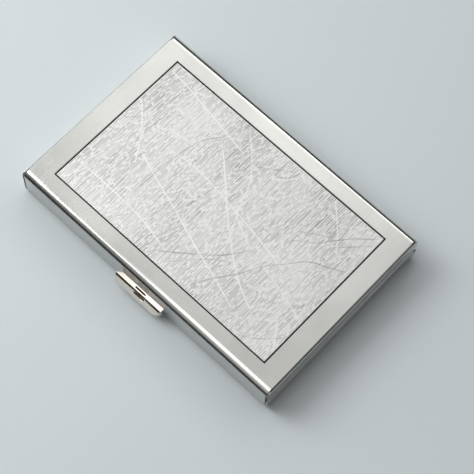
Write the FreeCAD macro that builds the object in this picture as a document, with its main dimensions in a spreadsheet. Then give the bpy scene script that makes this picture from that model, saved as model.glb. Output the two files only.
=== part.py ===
import FreeCAD, Part
import math
import os

# Business card case: two pressed stainless shells on a rear piano hinge, an embossed
# panel let into each face, a sprung half-round clasp on the front wall and a pleated
# film organiser with six pockets inside.
#
# Frame: X along the long sides, Y from the clasp side (front, -Y) to the hinge side
# (rear, +Y), Z up.  The closed case lies on its base; the origin is on the ground
# plane under the middle of the bounding box.  All sizes in millimetres.

doc = FreeCAD.newDocument("business_card_case")
V = FreeCAD.Vector

# ----------------------------------------------------------------------------------
# Driving dimensions
# ----------------------------------------------------------------------------------
sheet = doc.addObject("Spreadsheet::Sheet", "dims")
ROWS = [
    ("case_length", 96.0, "outside length of the lid, along X"),
    ("case_depth", 63.3, "outside depth of the shells, along Y"),
    ("case_height", 12.5, "closed thickness, along Z"),
    ("sheet_thk", 0.4, "pressed steel sheet"),
    ("long_bend", 2.85, "outside bend radius along the long sides"),
    ("bend_over", 0.46, "the long bend is cut off this far before it is upright, at a crease"),
    ("bend_run", 2.39, "width of the long bend, from the flat to the crease"),
    ("inner_bend", 2.15, "outside bend radius of the base's inner front wall"),
    ("short_bend", 0.8, "outside bend radius along the short sides"),
    ("split_z", 6.25, "height of the split between the shells and of the hinge axis"),
    ("split_gap", 0.1, "gap between the side flaps of the two shells"),
    ("side_step", 0.25, "how far the base flaps stand outside the lid flaps"),
    ("front_skirt_z", 1.6, "lower edge of the lid's front wall"),
    ("skirt_corner", 2.2, "rounding of the front wall's lower corners"),
    ("wall_relief", 1.25, "rear walls stop this far from the hinge axis"),
    ("corner_slit", 0.3, "open slit between a long wall's end and the side flap"),
    ("panel_length", 81.5, "embossed panel"),
    ("panel_width", 50.2, "embossed panel"),
    ("panel_thk", 0.3, "embossed panel"),
    ("panel_gap", 0.25, "groove around the embossed panel"),
    ("panel_glue", 0.05, "adhesive film under the panel"),
    ("recess", 0.4, "depth of the pressed recess that takes the panel"),
    ("base_front_y", 29.6, "outside face of the base's inner front wall, from the middle"),
    ("base_front_top", 9.6, "top edge of the base's inner front wall"),
    ("hinge_inset", 0.6, "hinge axis in from the outside of the rear walls"),
    ("knuckle_r", 1.15, "outside radius of the rolled knuckles"),
    ("knuckle_bore", 0.63, "bore of the rolled knuckles"),
    ("pin_r", 0.6, "hinge pin"),
    ("knuckle_pitch", 8.5, "knuckle pitch along X"),
    ("knuckle_gap", 0.16, "gap between neighbouring knuckles"),
    ("hinge_leaf_thk", 0.4, "hinge strip"),
    ("hinge_leaf_depth", 2.6, "height of the hinge strip on the rear wall"),
    ("leaf_length", 90.0, "organiser leaf, along X"),
    ("leaf_front_y", -28.0, "front edge of the organiser leaves"),
    ("leaf_rear_y", 27.6, "rear edge of the organiser leaves"),
    ("leaf_thk", 0.25, "organiser leaf"),
    ("pad_thk", 0.1, "adhesive pad that holds an end leaf"),
    ("pockets", 6.0, "pockets in the organiser"),
    ("notch_r", 9.0, "thumb notch in each leaf"),
    ("film_thk", 0.14, "gusset film"),
    ("thumb_length", 17.0, "clasp thumb piece"),
    ("thumb_top_z", 6.3, "top face of the thumb piece"),
    ("thumb_bottom_z", 2.9, "lower edge of the thumb piece"),
    ("thumb_depth", 2.71, "reach of the thumb piece in front of the wall"),
    ("thumb_round", 4.2, "radius of the bowed front face of the thumb piece"),
    ("clasp_z", 4.9, "height of the clasp rivets, the catch and its window"),
    ("strip_half", 23.6, "half length of the catch spring"),
    ("strip_thk", 0.3, "catch spring"),
    ("strip_bow", 0.75, "bow of the catch spring off the wall"),
    ("lug_x", 22.0, "the two lugs that hold the catch spring, from the middle"),
    ("lug_width", 2.0, "lug width along X"),
    ("rivet_x", 5.2, "clasp rivets, from the middle"),
    ("rivet_r", 0.7, "clasp rivet shank"),
    ("origin_y", 1.08, "shift of the case so that the origin is under the box centre"),
]
for i, (alias, value, what) in enumerate(ROWS, start=1):
    sheet.set("A%d" % i, what)
    sheet.set("B%d" % i, repr(value))
    sheet.setAlias("B%d" % i, alias)
doc.recompute()


class D:
    """Plain numbers read back from the sheet, for the few places that need arithmetic."""


for alias, _, _ in ROWS:
    setattr(D, alias, float(sheet.get(alias)))


def expand(text):
    """An expression in the sheet's aliases, written out for setExpression."""
    out, word = "", ""
    for ch in str(text) + " ":
        if ch.isalnum() or ch == "_":
            word += ch
        else:
            out += ("dims." + word) if hasattr(D, word) else word
            word = ""
            out += ch
    return out.strip()


def bind(obj, prop, value):
    obj.setExpression(prop, expand(value))


# ----------------------------------------------------------------------------------
# Helpers: every solid is a document object whose sizes are bound to the sheet
# ----------------------------------------------------------------------------------
def box(name, x0, x1, y0, y1, z0, z1):
    b = doc.addObject("Part::Box", name)
    for prop, lo, hi in (("Length", x0, x1), ("Width", y0, y1), ("Height", z0, z1)):
        bind(b, prop, "(%s) - (%s)" % (hi, lo))
    bind(b, "Placement.Base.x", x0)
    bind(b, "Placement.Base.y", y0)
    bind(b, "Placement.Base.z", z0)
    return b


def cyl(name, r, length, x, y, z, axis="z"):
    c = doc.addObject("Part::Cylinder", name)
    turn = {
        "z": FreeCAD.Rotation(),
        "x": FreeCAD.Rotation(V(0, 1, 0), 90),
        "y": FreeCAD.Rotation(V(1, 0, 0), -90),
    }[axis]
    c.Placement = FreeCAD.Placement(V(0, 0, 0), turn)
    bind(c, "Radius", r)
    bind(c, "Height", length)
    bind(c, "Placement.Base.x", x)
    bind(c, "Placement.Base.y", y)
    bind(c, "Placement.Base.z", z)
    return c


def cut(name, base, *tools):
    if len(tools) > 1:
        tool = fuse(name + "_tools", *tools)
    else:
        tool = tools[0]
    c = doc.addObject("Part::Cut", name)
    c.Base, c.Tool = base, tool
    return c


def fuse(name, *objs):
    f = doc.addObject("Part::MultiFuse", name)
    f.Shapes = list(objs)
    return f


def common(name, *objs):
    f = doc.addObject("Part::MultiCommon", name)
    f.Shapes = list(objs)
    return f


def fillet(name, base, pick, radius):
    """Round the edges of base that pick() chooses."""
    doc.recompute()
    edges = [
        (i, radius, radius)
        for i, e in enumerate(base.Shape.Edges, start=1)
        if pick(e)
    ]
    if not edges:
        raise RuntimeError("no edges to round on " + name)
    f = doc.addObject("Part::Fillet", name)
    f.Base = base
    f.Edges = edges
    return f


def along(e, axis):
    a, b = e.Vertexes[0].Point, e.Vertexes[-1].Point
    d = b - a
    return e.Curve.TypeId == "Part::GeomLine" and abs(abs(getattr(d, axis)) - d.Length) < 1e-6


NODES = []


def node(obj, label):
    """A finished sub-part: its label names its file, its placement puts it in the frame."""
    obj.Label = label
    obj.Placement = FreeCAD.Placement(V(0, D.origin_y, 0), FreeCAD.Rotation())
    bind(obj, "Placement.Base.y", "origin_y")
    NODES.append(obj)
    return obj


def body_sketch(body, name, plane="XY_Plane"):
    sk = body.newObject("Sketcher::SketchObject", name)
    origin = [o for o in body.Origin.OriginFeatures if o.Role == plane][0]
    sk.AttachmentSupport = [(origin, "")]
    sk.MapMode = "FlatFace"
    return sk


def sketch_rect(sk, x0, x1, y0, y1, names):
    """A rectangle on the sketch, dimensioned from its origin; names are expressions."""
    import Sketcher

    L = lambda a, b: sk.addGeometry(Part.LineSegment(V(a[0], a[1], 0), V(b[0], b[1], 0)), False)
    n = len(sk.Geometry)
    L((x0, y0), (x1, y0))
    L((x1, y0), (x1, y1))
    L((x1, y1), (x0, y1))
    L((x0, y1), (x0, y0))
    for k in range(4):
        sk.addConstraint(Sketcher.Constraint("Coincident", n + k, 2, n + (k + 1) % 4, 1))
    sk.addConstraint(Sketcher.Constraint("Horizontal", n))
    sk.addConstraint(Sketcher.Constraint("Horizontal", n + 2))
    sk.addConstraint(Sketcher.Constraint("Vertical", n + 1))
    sk.addConstraint(Sketcher.Constraint("Vertical", n + 3))
    for kind, g, p, value, expr in (
        ("DistanceX", n, 1, x0, names[0]),
        ("DistanceX", n, 2, x1, names[1]),
        ("DistanceY", n, 1, y0, names[2]),
        ("DistanceY", n + 2, 1, y1, names[3]),
    ):
        k = sk.addConstraint(Sketcher.Constraint(kind, -1, 1, g, p, value))
        sk.setExpression("Constraints[%d]" % k, expand(expr))
    return n


# ----------------------------------------------------------------------------------
# Lid shell: one pressed sheet.  The section across the case has the wide long bends,
# the section along it the tight short ones; the sheet is what lies between the
# outside and the inside form.
# ----------------------------------------------------------------------------------
HX, HY, HZ = "case_length / 2", "case_depth / 2", "case_height"


def form(tag, inset, top, floor, half_x, front, rear, r_long, r_short, down):
    """A block with rounded long and short edges at its top (or at its bottom)."""
    z_edge = (top if not down else floor)
    zx = D.case_height - inset_value(inset) if not down else inset_value(inset)
    a = box(tag + "_a", "-(%s)" % half_x, half_x, front + " - bend_over", rear + " + bend_over", floor, top)
    a = fillet(tag + "_long", a, lambda e: along(e, "x") and abs(e.Vertexes[0].Z - zx) < 1e-6, r_long)
    b = box(tag + "_b", "-(%s)" % half_x, half_x, front, rear, floor, top)
    b = fillet(tag + "_short", b, lambda e: along(e, "y") and abs(e.Vertexes[0].Z - zx) < 1e-6, r_short)
    return common(tag, a, b)


def inset_value(inset):
    return D.sheet_thk if inset else 0.0


lid_out = form(
    "lid_out", 0, HZ, "-1", HX, "-case_depth / 2", HY, D.long_bend, D.short_bend, False
)
lid_in = form(
    "lid_in", 1, "case_height - sheet_thk", "-2", "case_length / 2 - sheet_thk",
    "-case_depth / 2 + sheet_thk", "case_depth / 2 - sheet_thk",
    D.long_bend - D.sheet_thk, D.short_bend - D.sheet_thk, False,
)
lid_raw = cut("lid_raw", lid_out, lid_in)

# the recess for the panel: the sheet steps down inside the groove
PX, PY = "(panel_length / 2 + panel_gap)", "(panel_width / 2 + panel_gap)"
lid_boss = box(
    "lid_boss", "-%s - sheet_thk" % PX, "%s + sheet_thk" % PX, "-%s - sheet_thk" % PY, "%s + sheet_thk" % PY,
    "case_height - recess - sheet_thk", "case_height - sheet_thk / 2",
)
lid_well = box("lid_well", "-" + PX, PX, "-" + PY, PY, "case_height - recess", "case_height + 1")

# trimming: the side flaps and the rear wall end above the split, the front wall is a skirt
FLAP = "split_z + split_gap / 2"
t_sides = box("t_lid_sides", "-60", "60", "-case_depth / 2 + sheet_thk", "60", "-5", FLAP)
t_front = box(
    "t_lid_front", "-60", "60", "-60", "-case_depth / 2 + sheet_thk", "-5", "front_skirt_z"
)
t_rear = box("t_lid_rear", "-case_length / 2 + sheet_thk", "case_length / 2 - sheet_thk",
             "case_depth / 2 - 2 * sheet_thk", "60", "-5", "split_z + wall_relief")
t_fl = box("t_lid_flap_l", "-60", "-case_length / 2 + sheet_thk", "-60", "-case_depth / 2 + sheet_thk", "-5", FLAP)
t_fr = box("t_lid_flap_r", "case_length / 2 - sheet_thk", "60", "-60", "-case_depth / 2 + sheet_thk", "-5", FLAP)
slits = []
for sx, sn in ((-1, "l"), (1, "r")):
    lo = "%d * (case_length / 2 - sheet_thk)" % sx
    hi = "%d * (case_length / 2 - sheet_thk - corner_slit)" % sx
    x0, x1 = (lo, hi) if sx < 0 else (hi, lo)
    slits.append(box("slit_f" + sn, x0, x1, "-60", "-case_depth / 2 + bend_run", "-5", "60"))
    slits.append(box("slit_r" + sn, x0, x1, "case_depth / 2 - bend_run", "60", "-5", "60"))
    # the flaps stop short of the hinge axis, so that they swing clear of each other
    slits.append(box("flap_rear" + sn, "-60" if sx < 0 else "case_length / 2 - sheet_thk - 0.01",
                     "-case_length / 2 + sheet_thk + 0.01" if sx < 0 else "60",
                     "case_depth / 2 - hinge_inset - 0.6", "60", "-5", "split_z + wall_relief"))
    # rounded lower corner of the front wall
    cb = box("corner_b" + sn,
             "-case_length / 2 + sheet_thk" if sx < 0 else "case_length / 2 - sheet_thk - corner_slit - skirt_corner",
             "-case_length / 2 + sheet_thk + corner_slit + skirt_corner" if sx < 0 else "case_length / 2 - sheet_thk",
             "-60", "-case_depth / 2 + sheet_thk + 0.05", "-5", "front_skirt_z + skirt_corner")
    cc = cyl("corner_c" + sn, "skirt_corner", "60",
             "%d * (case_length / 2 - sheet_thk - corner_slit - skirt_corner)" % sx, "-70", "front_skirt_z + skirt_corner", "y")
    slits.append(cut("corner_" + sn, cb, cc))

# clearance slots for the clasp rivets through the front wall
holes = []
for sx, sn in ((-1, "l"), (1, "r")):
    holes.append(cyl("shank_hole_" + sn, "rivet_r + 0.12", "4", "%d * rivet_x" % sx, "-case_depth / 2 - 2", "clasp_z", "y"))
# relief notches at both sides of each lug, in the lower edge of the front wall
notches = []
for sx, sn in ((-1, "l"), (1, "r")):
    for k in (-1, 1):
        notches.append(box("relief_%s%d" % (sn, k + 1),
                           "%d * lug_x + %d * (lug_width / 2 + 0.2) - 0.2" % (sx, k),
                           "%d * lug_x + %d * (lug_width / 2 + 0.2) + 0.2" % (sx, k),
                           "-60", "-case_depth / 2 + sheet_thk + 0.05", "-5", "front_skirt_z + 0.9"))
lid_sheet = cut("lid_sheet", fuse("lid_pressed", lid_raw, lid_boss), lid_well, t_sides, t_front, t_rear, t_fl, t_fr,
                *(slits + holes + notches))
# the lugs: folded in under the catch spring's ends and up behind them
lugs = []
for sx, sn in ((-1, "l"), (1, "r")):
    x0, x1 = "%d * lug_x - lug_width / 2" % sx, "%d * lug_x + lug_width / 2" % sx
    lugs.append(box("lug_fold_" + sn, x0, x1, "-case_depth / 2", "-case_depth / 2 + 3 * sheet_thk", "front_skirt_z - 0.25", "front_skirt_z + 0.15"))
    lugs.append(box("lug_up_" + sn, x0, x1, "-case_depth / 2 + 2 * sheet_thk", "-case_depth / 2 + 3 * sheet_thk", "front_skirt_z - 0.25", "front_skirt_z + 2.4"))
    lugs.append(box("lug_root_" + sn, x0, x1, "-case_depth / 2", "-case_depth / 2 + sheet_thk", "front_skirt_z - 0.25", "front_skirt_z + 0.5"))
node(fuse("lid_shell", lid_sheet, *lugs), "lid_shell")

# ----------------------------------------------------------------------------------
# Base shell: the same pressing the other way up, with an inner front wall
# ----------------------------------------------------------------------------------
base_out = form("base_out", 0, "20", "0", "case_length / 2 + side_step", "-case_depth / 2", HY,
                D.long_bend, D.short_bend, True)
base_in = form("base_in", 1, "21", "sheet_thk", "case_length / 2 + side_step - sheet_thk",
               "-case_depth / 2 + sheet_thk", "case_depth / 2 - sheet_thk",
               D.long_bend - D.sheet_thk, D.short_bend - D.sheet_thk, True)
base_flaps = common("base_flaps",
                    cut("base_raw", base_out, base_in),
                    fuse("base_flap_zone",
                         box("bfz_l", "-60", "-case_length / 2 - side_step + sheet_thk", "-60", "60", "-5", "split_z - split_gap / 2"),
                         box("bfz_r", "case_length / 2 + side_step - sheet_thk", "60", "-60", "60", "-5", "split_z - split_gap / 2")))
# bottom, rear wall and inner front wall, between the flaps
core_out = box("core_out", "-case_length / 2 - side_step + sheet_thk", "case_length / 2 + side_step - sheet_thk",
               "-base_front_y", "case_depth / 2 + bend_over", "0", "20")
core_out = fillet("core_out_f", core_out, lambda e: along(e, "x") and abs(e.Vertexes[0].Z) < 1e-6 and e.Vertexes[0].Y < 0, D.inner_bend)
core_out = fillet("core_out_r", core_out, lambda e: along(e, "x") and abs(e.Vertexes[0].Z) < 1e-6 and e.Vertexes[0].Y > 30, D.long_bend)
core_out = common("core_out_t", core_out, box("core_out_lim", "-70", "70", "-70", HY, "-1", "30"))
core_in = box("core_in", "-60", "60", "-base_front_y + sheet_thk", "case_depth / 2 + bend_over - sheet_thk", "sheet_thk", "21")
core_in = fillet("core_in_f", core_in, lambda e: along(e, "x") and abs(e.Vertexes[0].Z - D.sheet_thk) < 1e-6 and e.Vertexes[0].Y < 0,
                 D.inner_bend - D.sheet_thk)
core_in = fillet("core_in_r", core_in, lambda e: along(e, "x") and abs(e.Vertexes[0].Z - D.sheet_thk) < 1e-6 and e.Vertexes[0].Y > 30,
                 D.long_bend - D.sheet_thk)
core_in = common("core_in_t", core_in, box("core_in_lim", "-70", "70", "-70", "case_depth / 2 - sheet_thk", "-1", "30"))
core = cut("core", core_out, core_in)
# the floor runs out to the flaps through the tight short bends
floor_l = box("bf_edge", "-60", "60", "-base_front_y + inner_bend", "case_depth / 2 - bend_run", "-5", "short_bend")
bends = common("base_bends", cut("base_raw2", base_out, base_in), floor_l)
BPX, BPY = PX, PY
base_boss = box("base_boss", "-%s - sheet_thk" % PX, "%s + sheet_thk" % PX, "-%s - sheet_thk" % PY, "%s + sheet_thk" % PY,
                "sheet_thk / 2", "recess + sheet_thk")
base_well = box("base_well", "-" + PX, PX, "-" + PY, PY, "-5", "recess")
bt_front = box("bt_front", "-60", "60", "-60", "-base_front_y + 2 * sheet_thk", "base_front_top", "60")
bt_rear = box("bt_rear", "-60", "60", "case_depth / 2 - 2 * sheet_thk", "60", "split_z - wall_relief", "60")
bt_ends = []
for sx, sn in ((-1, "l"), (1, "r")):
    lo = "%d * (case_length / 2 + side_step - sheet_thk)" % sx
    hi = "%d * (case_length / 2 + side_step - sheet_thk - corner_slit)" % sx
    x0, x1 = (lo, hi) if sx < 0 else (hi, lo)
    bt_ends.append(box("bslit_f" + sn, x0, x1, "-60", "-base_front_y + inner_bend", "-5", "60"))
    bt_ends.append(box("bslit_r" + sn, x0, x1, "case_depth / 2 - bend_run", "60", "-5", "60"))
    bt_ends.append(box("bflap_rear" + sn, "-60" if sx < 0 else "case_length / 2 + side_step - sheet_thk - 0.01",
                       "-case_length / 2 - side_step + sheet_thk + 0.01" if sx < 0 else "60",
                       "case_depth / 2 - hinge_inset - 0.6", "60", "split_z - wall_relief", "60"))
# the window that the catch nose snaps into
bt_win = box("catch_window", "-2.6", "2.6", "-60", "-base_front_y + sheet_thk + 0.05",
             "clasp_z - 1.1", "clasp_z + 1.1")
node(cut("base_shell", fuse("base_pressed", core, base_flaps, bends, base_boss), base_well, bt_front, bt_rear, bt_win, *bt_ends),
     "base_shell")

# ----------------------------------------------------------------------------------
# Embossed panels and the films that bond them into the recesses
# ----------------------------------------------------------------------------------
def flat_body(name, x, y0, y1, z0, thick):
    """A flat rectangular plate: one sketch and one pad."""
    body = doc.addObject("PartDesign::Body", name)
    sk = body_sketch(body, name + "_outline")
    xx = eval_expr(x)
    sketch_rect(sk, -xx, xx, eval_expr(y0), eval_expr(y1), ("-(%s)" % x, x, y0, y1))
    bind(sk, "AttachmentOffset.Base.z", z0)
    pad = body.newObject("PartDesign::Pad", name + "_pad")
    pad.Profile = sk
    pad.Length = 1
    bind(pad, "Length", thick)
    return body


def eval_expr(text):
    """The number that an expression in the sheet's aliases stands for (only + - * / and brackets)."""
    tokens, word = [], ""
    for ch in str(text) + " ":
        if ch.isalnum() or ch in "_.":
            word += ch
        else:
            if word:
                tokens.append(float(getattr(D, word)) if hasattr(D, word) else float(word))
                word = ""
            if ch in "+-*/()":
                tokens.append(ch)
    pos = [0]

    def peek():
        return tokens[pos[0]] if pos[0] < len(tokens) else None

    def take():
        t = peek()
        pos[0] += 1
        return t

    def atom():
        t = take()
        if t == "(":
            v = total()
            take()
            return v
        if t == "-":
            return -atom()
        return t

    def product():
        v = atom()
        while peek() in ("*", "/"):
            v = v * atom() if take() == "*" else v / atom()
        return v

    def total():
        v = product()
        while peek() in ("+", "-"):
            v = v + product() if take() == "+" else v - product()
        return v

    return total()


node(flat_body("lid_inlay_panel", "panel_length / 2", "-(panel_width / 2)", "panel_width / 2",
               "case_height - recess + panel_glue", "panel_thk"), "lid_inlay_panel")
node(flat_body("lid_inlay_adhesive", "panel_length / 2 - 0.6", "-(panel_width / 2) + 0.6", "panel_width / 2 - 0.6",
               "case_height - recess", "panel_glue"), "lid_inlay_adhesive")
node(flat_body("base_inlay_panel", "panel_length / 2", "-(panel_width / 2)", "panel_width / 2",
               "recess - panel_glue - panel_thk", "panel_thk"), "base_inlay_panel")
node(flat_body("base_inlay_adhesive", "panel_length / 2 - 0.6", "-(panel_width / 2) + 0.6", "panel_width / 2 - 0.6",
               "recess - panel_glue", "panel_glue"), "base_inlay_adhesive")

# ----------------------------------------------------------------------------------
# Hinge: a strip with rolled knuckles on each rear wall, and one pin through all
# ----------------------------------------------------------------------------------
AX_Y = "(case_depth / 2 - hinge_inset)"
COUNT = 11


def hinge_leaf(name, mine, side):
    """side +1: the lid's strip, above the axis; -1: the base's, below it."""
    half = COUNT / 2.0
    wall_in = "case_depth / 2 - sheet_thk"
    if side > 0:
        z0, z1 = "split_z + wall_relief", "split_z + wall_relief + hinge_leaf_depth"
        w0, w1 = "split_z", "split_z + wall_relief + 0.2"
    else:
        z0, z1 = "split_z - wall_relief - hinge_leaf_depth", "split_z - wall_relief"
        w0, w1 = "split_z - wall_relief - 0.2", "split_z"
    solids = [box(name + "_strip", "-%g * knuckle_pitch" % half, "%g * knuckle_pitch" % half,
                  wall_in + " - hinge_leaf_thk", wall_in, z0, z1)]
    for k in mine:
        x0 = "%g * knuckle_pitch + knuckle_gap / 2" % (k - half)
        x1 = "%g * knuckle_pitch - knuckle_gap / 2" % (k + 1 - half)
        solids.append(cyl("%s_k%d" % (name, k), "knuckle_r", "knuckle_pitch - knuckle_gap", x0, AX_Y, "split_z", "x"))
        solids.append(box("%s_w%d" % (name, k), x0, x1, wall_in + " - hinge_leaf_thk", wall_in, w0, w1))
    bore = cyl(name + "_bore", "knuckle_bore", "120", "-60", AX_Y, "split_z", "x")
    return node(cut(name, fuse(name + "_rolled", *solids), bore), name)


hinge_leaf("lid_hinge_leaf", [1, 3, 5, 7, 9], +1)
hinge_leaf("base_hinge_leaf", [0, 2, 4, 6, 8, 10], -1)
pin = cyl("hinge_pin_rod", "pin_r", "%d * knuckle_pitch + 0.6" % COUNT, "-%g * knuckle_pitch - 0.3" % (COUNT / 2.0), AX_Y, "split_z", "x")
pin = fillet("hinge_pin", pin, lambda e: e.Curve.TypeId == "Part::GeomCircle", 0.15)
node(pin, "hinge_pin")

# ----------------------------------------------------------------------------------
# Clasp: bowed thumb piece, its two rivets, the bowed catch spring and the
# keeper plate behind the window in the base's inner front wall
# ----------------------------------------------------------------------------------
WALL = "case_depth / 2"
CZ = "clasp_z"
bar_round = cyl("thumb_round_bar", "thumb_round", "thumb_length", "-thumb_length / 2", "-case_depth / 2 + 1.49", "thumb_top_z - 3.51", "x")
plan = box("thumb_plan", "-thumb_length / 2", "thumb_length / 2", "-case_depth / 2 - thumb_depth",
           "-case_depth / 2 - 0.05", "thumb_bottom_z", "thumb_top_z")
plan = fillet("thumb_plan_r", plan, lambda e: along(e, "z") and e.Vertexes[0].Y < -D.case_depth / 2 - 1, 2.6)
bar = common("thumb_bar", bar_round, plan)
# a finger hollow under the bar, so that it is a formed lip, not a block
hollow_r = cyl("thumb_hollow_round", "thumb_round - 0.55", "thumb_length - 3.2", "-thumb_length / 2 + 1.6", "-case_depth / 2 + 1.49", "thumb_top_z - 3.51", "x")
hollow_b = box("thumb_hollow_room", "-thumb_length / 2 + 1.6", "thumb_length / 2 - 1.6",
               "-case_depth / 2 - thumb_depth - 1", "-case_depth / 2 - 0.65", "thumb_bottom_z - 1", "thumb_top_z - 0.6")
hollow = common("thumb_hollow", hollow_r, hollow_b)
slot = box("thumb_slot", "-1.9", "1.9", "-case_depth / 2 - 0.78", "-case_depth / 2 - 0.38", "thumb_top_z - 1.2", "thumb_top_z + 1")
slot = fillet("thumb_slot_r", slot, lambda e: along(e, "z"), 0.19)
dimple = doc.addObject("Part::Ellipsoid", "thumb_dimple")
dimple.Radius1, dimple.Radius2, dimple.Radius3 = 0.45, 2.0, 0.55
dimple.Placement = FreeCAD.Placement(V(0, -D.case_depth / 2 - 1.95, D.thumb_top_z - 0.92), FreeCAD.Rotation(V(0, 0, 1), 0))
node(cut("thumb_piece", bar, hollow, slot, dimple), "thumb_piece")

riv = []
for sx, sn in ((-1, "l"), (1, "r")):
    shank = cyl("rivet_shank_" + sn, "rivet_r", "sheet_thk + strip_bow + strip_thk + 0.05", "%d * rivet_x" % sx, "-case_depth / 2 - 0.05", CZ, "y")
    head = cyl("rivet_head_" + sn, "rivet_r + 0.35", "0.2", "%d * rivet_x" % sx, "-case_depth / 2 + sheet_thk + strip_bow + strip_thk", CZ, "y")
    riv.append(fuse("rivet_" + sn, shank, head))
node(fuse("clasp_rivets", *riv), "clasp_rivets")

# catch spring: a strip bowed off the wall in the middle, its ends behind the lugs
yw = -D.case_depth / 2 + D.sheet_thk
zc = D.clasp_z
pts = [(-D.strip_half, yw), (-19.0, yw), (-8.5, yw + D.strip_bow), (8.5, yw + D.strip_bow), (19.0, yw), (D.strip_half, yw)]
t = D.strip_thk
loop = [V(x, y, 0) for x, y in pts] + [V(x, y + t, 0) for x, y in reversed(pts)]
strip = Part.Face(Part.makePolygon(loop + [loop[0]])).extrude(V(0, 0, 4.7))
strip.translate(V(0, 0, D.front_skirt_z + 0.5))
for sx in (-1, 1):
    strip = strip.cut(Part.makeCylinder(D.rivet_r, 6, V(sx * D.rivet_x, yw - 1, zc), V(0, 1, 0)))
# the nose: a pressed bead with a ramp below and a rounded top edge
nose_pts = [V(-1.9, yw + D.strip_bow + t - 0.05, zc - 0.85), V(-1.9, yw + D.strip_bow + t + 0.75, zc + 0.1),
            V(-1.9, yw + D.strip_bow + t + 0.75, zc + 0.45), V(-1.9, yw + D.strip_bow + t - 0.05, zc + 0.8)]
nose = Part.Face(Part.makePolygon(nose_pts + [nose_pts[0]])).extrude(V(3.8, 0, 0))
strip = strip.fuse(nose).removeSplitter()
cs = doc.addObject("Part::Feature", "catch_spring")
cs.Shape = strip
node(cs, "catch_spring")

keeper = box("keeper_blank", "-6", "6", "-base_front_y + sheet_thk", "-base_front_y + 2 * sheet_thk", "2.6", "base_front_top - 0.6")
keeper_win = box("keeper_window", "-2.6", "2.6", "-base_front_y - 1", "-base_front_y + 3", "clasp_z - 1.1", "clasp_z + 1.1")
node(cut("keeper_plate", keeper, keeper_win), "keeper_plate")

# ----------------------------------------------------------------------------------
# Organiser: end leaves, dividers, side gussets and the pleated spine
# ----------------------------------------------------------------------------------
FLOOR = "recess + sheet_thk"
CEIL = "case_height - recess - sheet_thk"
Z_FIRST = "(recess + sheet_thk + pad_thk + leaf_thk / 2)"
Z_LAST = "(case_height - recess - sheet_thk - pad_thk - leaf_thk / 2)"
N = int(round(D.pockets))


def leaf(name, k):
    """One leaf of clear film with a round thumb notch in its front edge."""
    import Sketcher

    body = doc.addObject("PartDesign::Body", name)
    sk = body_sketch(body, name + "_outline")
    x, y0, y1, r = D.leaf_length / 2, D.leaf_front_y, D.leaf_rear_y, D.notch_r
    sketch_rect(sk, -x, x, y0, y1, ("-leaf_length / 2", "leaf_length / 2", "leaf_front_y", "leaf_rear_y"))
    z = "%s + (%s - %s) * %d / pockets - leaf_thk / 2" % (Z_FIRST, Z_LAST, Z_FIRST, k)
    bind(sk, "AttachmentOffset.Base.z", z)
    pad = body.newObject("PartDesign::Pad", name + "_pad")
    pad.Profile = sk
    bind(pad, "Length", "leaf_thk")
    doc.recompute()
    before = body.Shape.Volume
    nk = body_sketch(body, name + "_notch")
    g = nk.addGeometry(Part.Circle(V(0, y0, 0), V(0, 0, 1), r), False)
    c = nk.addConstraint(Sketcher.Constraint("Radius", g, r))
    nk.setExpression("Constraints[%d]" % c, expand("notch_r"))
    nk.addConstraint(Sketcher.Constraint("PointOnObject", g, 3, -2))
    c = nk.addConstraint(Sketcher.Constraint("DistanceY", -1, 1, g, 3, y0))
    nk.setExpression("Constraints[%d]" % c, expand("leaf_front_y"))
    bind(nk, "AttachmentOffset.Base.z", z)
    pocket = body.newObject("PartDesign::Pocket", name + "_pocket")
    pocket.Profile = nk
    pocket.Type = "Length"
    pocket.Reversed = True
    bind(pocket, "Length", "leaf_thk")
    doc.recompute()
    if body.Shape.Volume > before - 1:
        raise RuntimeError("the notch cut nothing in " + name)
    return node(body, name)


leaf("base_end_leaf", 0)
for k in range(1, N):
    leaf("divider_%d" % k, k)
leaf("lid_end_leaf", N)

node(flat_body("base_leaf_adhesive", "leaf_length / 2 - 6", "leaf_front_y + 11", "leaf_rear_y - 2", FLOOR, "pad_thk"),
     "base_leaf_adhesive")
node(flat_body("lid_leaf_adhesive", "leaf_length / 2 - 6", "leaf_front_y + 11", "leaf_rear_y - 2", CEIL + " - pad_thk", "pad_thk"),
     "lid_leaf_adhesive")

zf = D.recess + D.sheet_thk + D.pad_thk + D.leaf_thk / 2
zl = D.case_height - zf
pitch = (zl - zf) / N


def pleats(reach):
    """The zigzag section of a pleated film: out and back once between two leaves."""
    h = D.film_thk / 2
    inner, outer = [], []
    for k in range(N + 1):
        inner.append((0.0, zf + k * pitch))
        if k < N:
            inner.append((reach, zf + (k + 0.5) * pitch))
    low = [(a, b - h * 1.6) for a, b in inner]
    high = [(a, b + h * 1.6) for a, b in inner]
    # the film's two faces: the same zigzag, a little lower and a little higher
    return low, high


def pleated(name, reach, place, sweep):
    """A closed solid of the film: each limb is a thin prism, all fused."""
    _, _ = pleats(reach)
    limbs = []
    h = D.film_thk / 2
    ctr = []
    for k in range(N + 1):
        ctr.append((0.0, zf + k * pitch))
        if k < N:
            ctr.append((reach, zf + (k + 0.5) * pitch))
    for (a0, b0), (a1, b1) in zip(ctr, ctr[1:]):
        d = math.hypot(a1 - a0, b1 - b0)
        nx, nz = -(b1 - b0) / d * h, (a1 - a0) / d * h
        ux, uz = (a1 - a0) / d * h * 0.9, (b1 - b0) / d * h * 0.9
        quad = [(a0 - ux + nx, b0 - uz + nz), (a0 - ux - nx, b0 - uz - nz), (a1 + ux - nx, b1 + uz - nz), (a1 + ux + nx, b1 + uz + nz)]
        p = [place(a, b) for a, b in quad]
        limbs.append(Part.Face(Part.makePolygon(p + [p[0]])).extrude(sweep))
    s = limbs[0].fuse(limbs[1:]).removeSplitter()
    f = doc.addObject("Part::Feature", name)
    f.Shape = s.Solids[0] if len(s.Solids) == 1 else s
    return node(f, name)


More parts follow.
